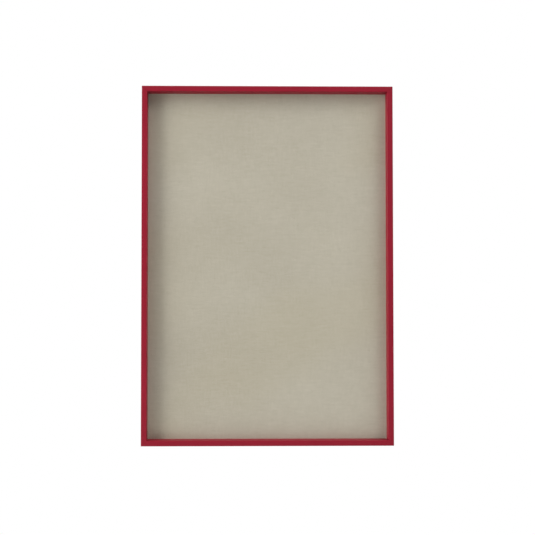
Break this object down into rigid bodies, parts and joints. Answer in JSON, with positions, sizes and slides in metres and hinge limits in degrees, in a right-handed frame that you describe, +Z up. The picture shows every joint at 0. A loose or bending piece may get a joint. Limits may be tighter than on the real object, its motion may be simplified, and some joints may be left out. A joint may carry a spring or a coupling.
{
  "type": "notice board",
  "caption": "Portrait wall notice board: a linen-covered softboard panel set deep in a slim red lacquered box frame, hung by swinging D rings behind.",
  "frame": {"origin": "on the wall plane, where the bumpers touch it, behind the middle of the board", "axes": "+X to the right as seen from the front, +Y into the wall (the board faces -Y), +Z up"},
  "size_m": [0.7, 0.051, 1],
  "materials": {
    "red_lacquer": "satin crimson lacquer on a slim wooden moulding",
    "linen": "natural plain-weave linen, matte, with fine slubs",
    "softboard": "matte pressed wood fibre",
    "hardboard": "brown hardboard, smooth side out, low satin",
    "zinc_steel": "bright zinc plate, satin",
    "nickel_steel": "nickel plate, polished",
    "grey_rubber": "dark grey rubber, matte"
  },
  "bodies": {
    "board": {"top_rail": "red_lacquer", "right_rail": "red_lacquer", "bottom_rail": "red_lacquer", "left_rail": "red_lacquer", "top_left_v_nail_rear": "zinc_steel", "top_left_v_nail_front": "zinc_steel", "top_right_v_nail_rear": "zinc_steel", "top_right_v_nail_front": "zinc_steel", "bottom_right_v_nail_rear": "zinc_steel", "bottom_right_v_nail_front": "zinc_steel", "bottom_left_v_nail_rear": "zinc_steel", "bottom_left_v_nail_front": "zinc_steel", "linen_cover": "linen", "softboard_core": "softboard", "hardboard_back": "hardboard", "top_panel_point_1": "zinc_steel", "top_panel_point_2": "zinc_steel", "top_panel_point_3": "zinc_steel", "top_staple_1": "zinc_steel", "top_staple_2": "zinc_steel", "top_staple_3": "zinc_steel", "top_staple_4": "zinc_steel", "right_panel_point_1": "zinc_steel", "right_panel_point_2": "zinc_steel", "right_panel_point_3": "zinc_steel", "right_panel_point_4": "zinc_steel", "right_staple_1": "zinc_steel", "right_staple_2": "zinc_steel", "right_staple_3": "zinc_steel", "right_staple_4": "zinc_steel", "right_staple_5": "zinc_steel", "right_staple_6": "zinc_steel", "bottom_panel_point_1": "zinc_steel", "bottom_panel_point_2": "zinc_steel", "bottom_panel_point_3": "zinc_steel", "bottom_staple_1": "zinc_steel", "bottom_staple_2": "zinc_steel", "bottom_staple_3": "zinc_steel", "bottom_staple_4": "zinc_steel", "left_panel_point_1": "zinc_steel", "left_panel_point_2": "zinc_steel", "left_panel_point_3": "zinc_steel", "left_panel_point_4": "zinc_steel", "left_staple_1": "zinc_steel", "left_staple_2": "zinc_steel", "left_staple_3": "zinc_steel", "left_staple_4": "zinc_steel", "left_staple_5": "zinc_steel", "left_staple_6": "zinc_steel", "left_hanger_strap": "nickel_steel", "left_hanger_screw_1": "zinc_steel", "left_hanger_screw_2": "zinc_steel", "left_wall_bumper": "grey_rubber", "right_hanger_strap": "nickel_steel", "right_hanger_screw_1": "zinc_steel", "right_hanger_screw_2": "zinc_steel", "right_wall_bumper": "grey_rubber"},
    "left_ring": {"left_d_ring": "nickel_steel"},
    "right_ring": {"right_d_ring": "nickel_steel"}
  },
  "joints": [
    {"name": "left_ring_swing", "type": "hinge", "parent": "board", "child": "left_ring", "pos_m": [-0.3435, -0.0026, 0.25], "axis": [1, 0, 0], "range_deg": [0, 180]},
    {"name": "right_ring_swing", "type": "hinge", "parent": "board", "child": "right_ring", "pos_m": [0.3435, -0.0026, 0.25], "axis": [1, 0, 0], "range_deg": [0, 180]}
  ]
}
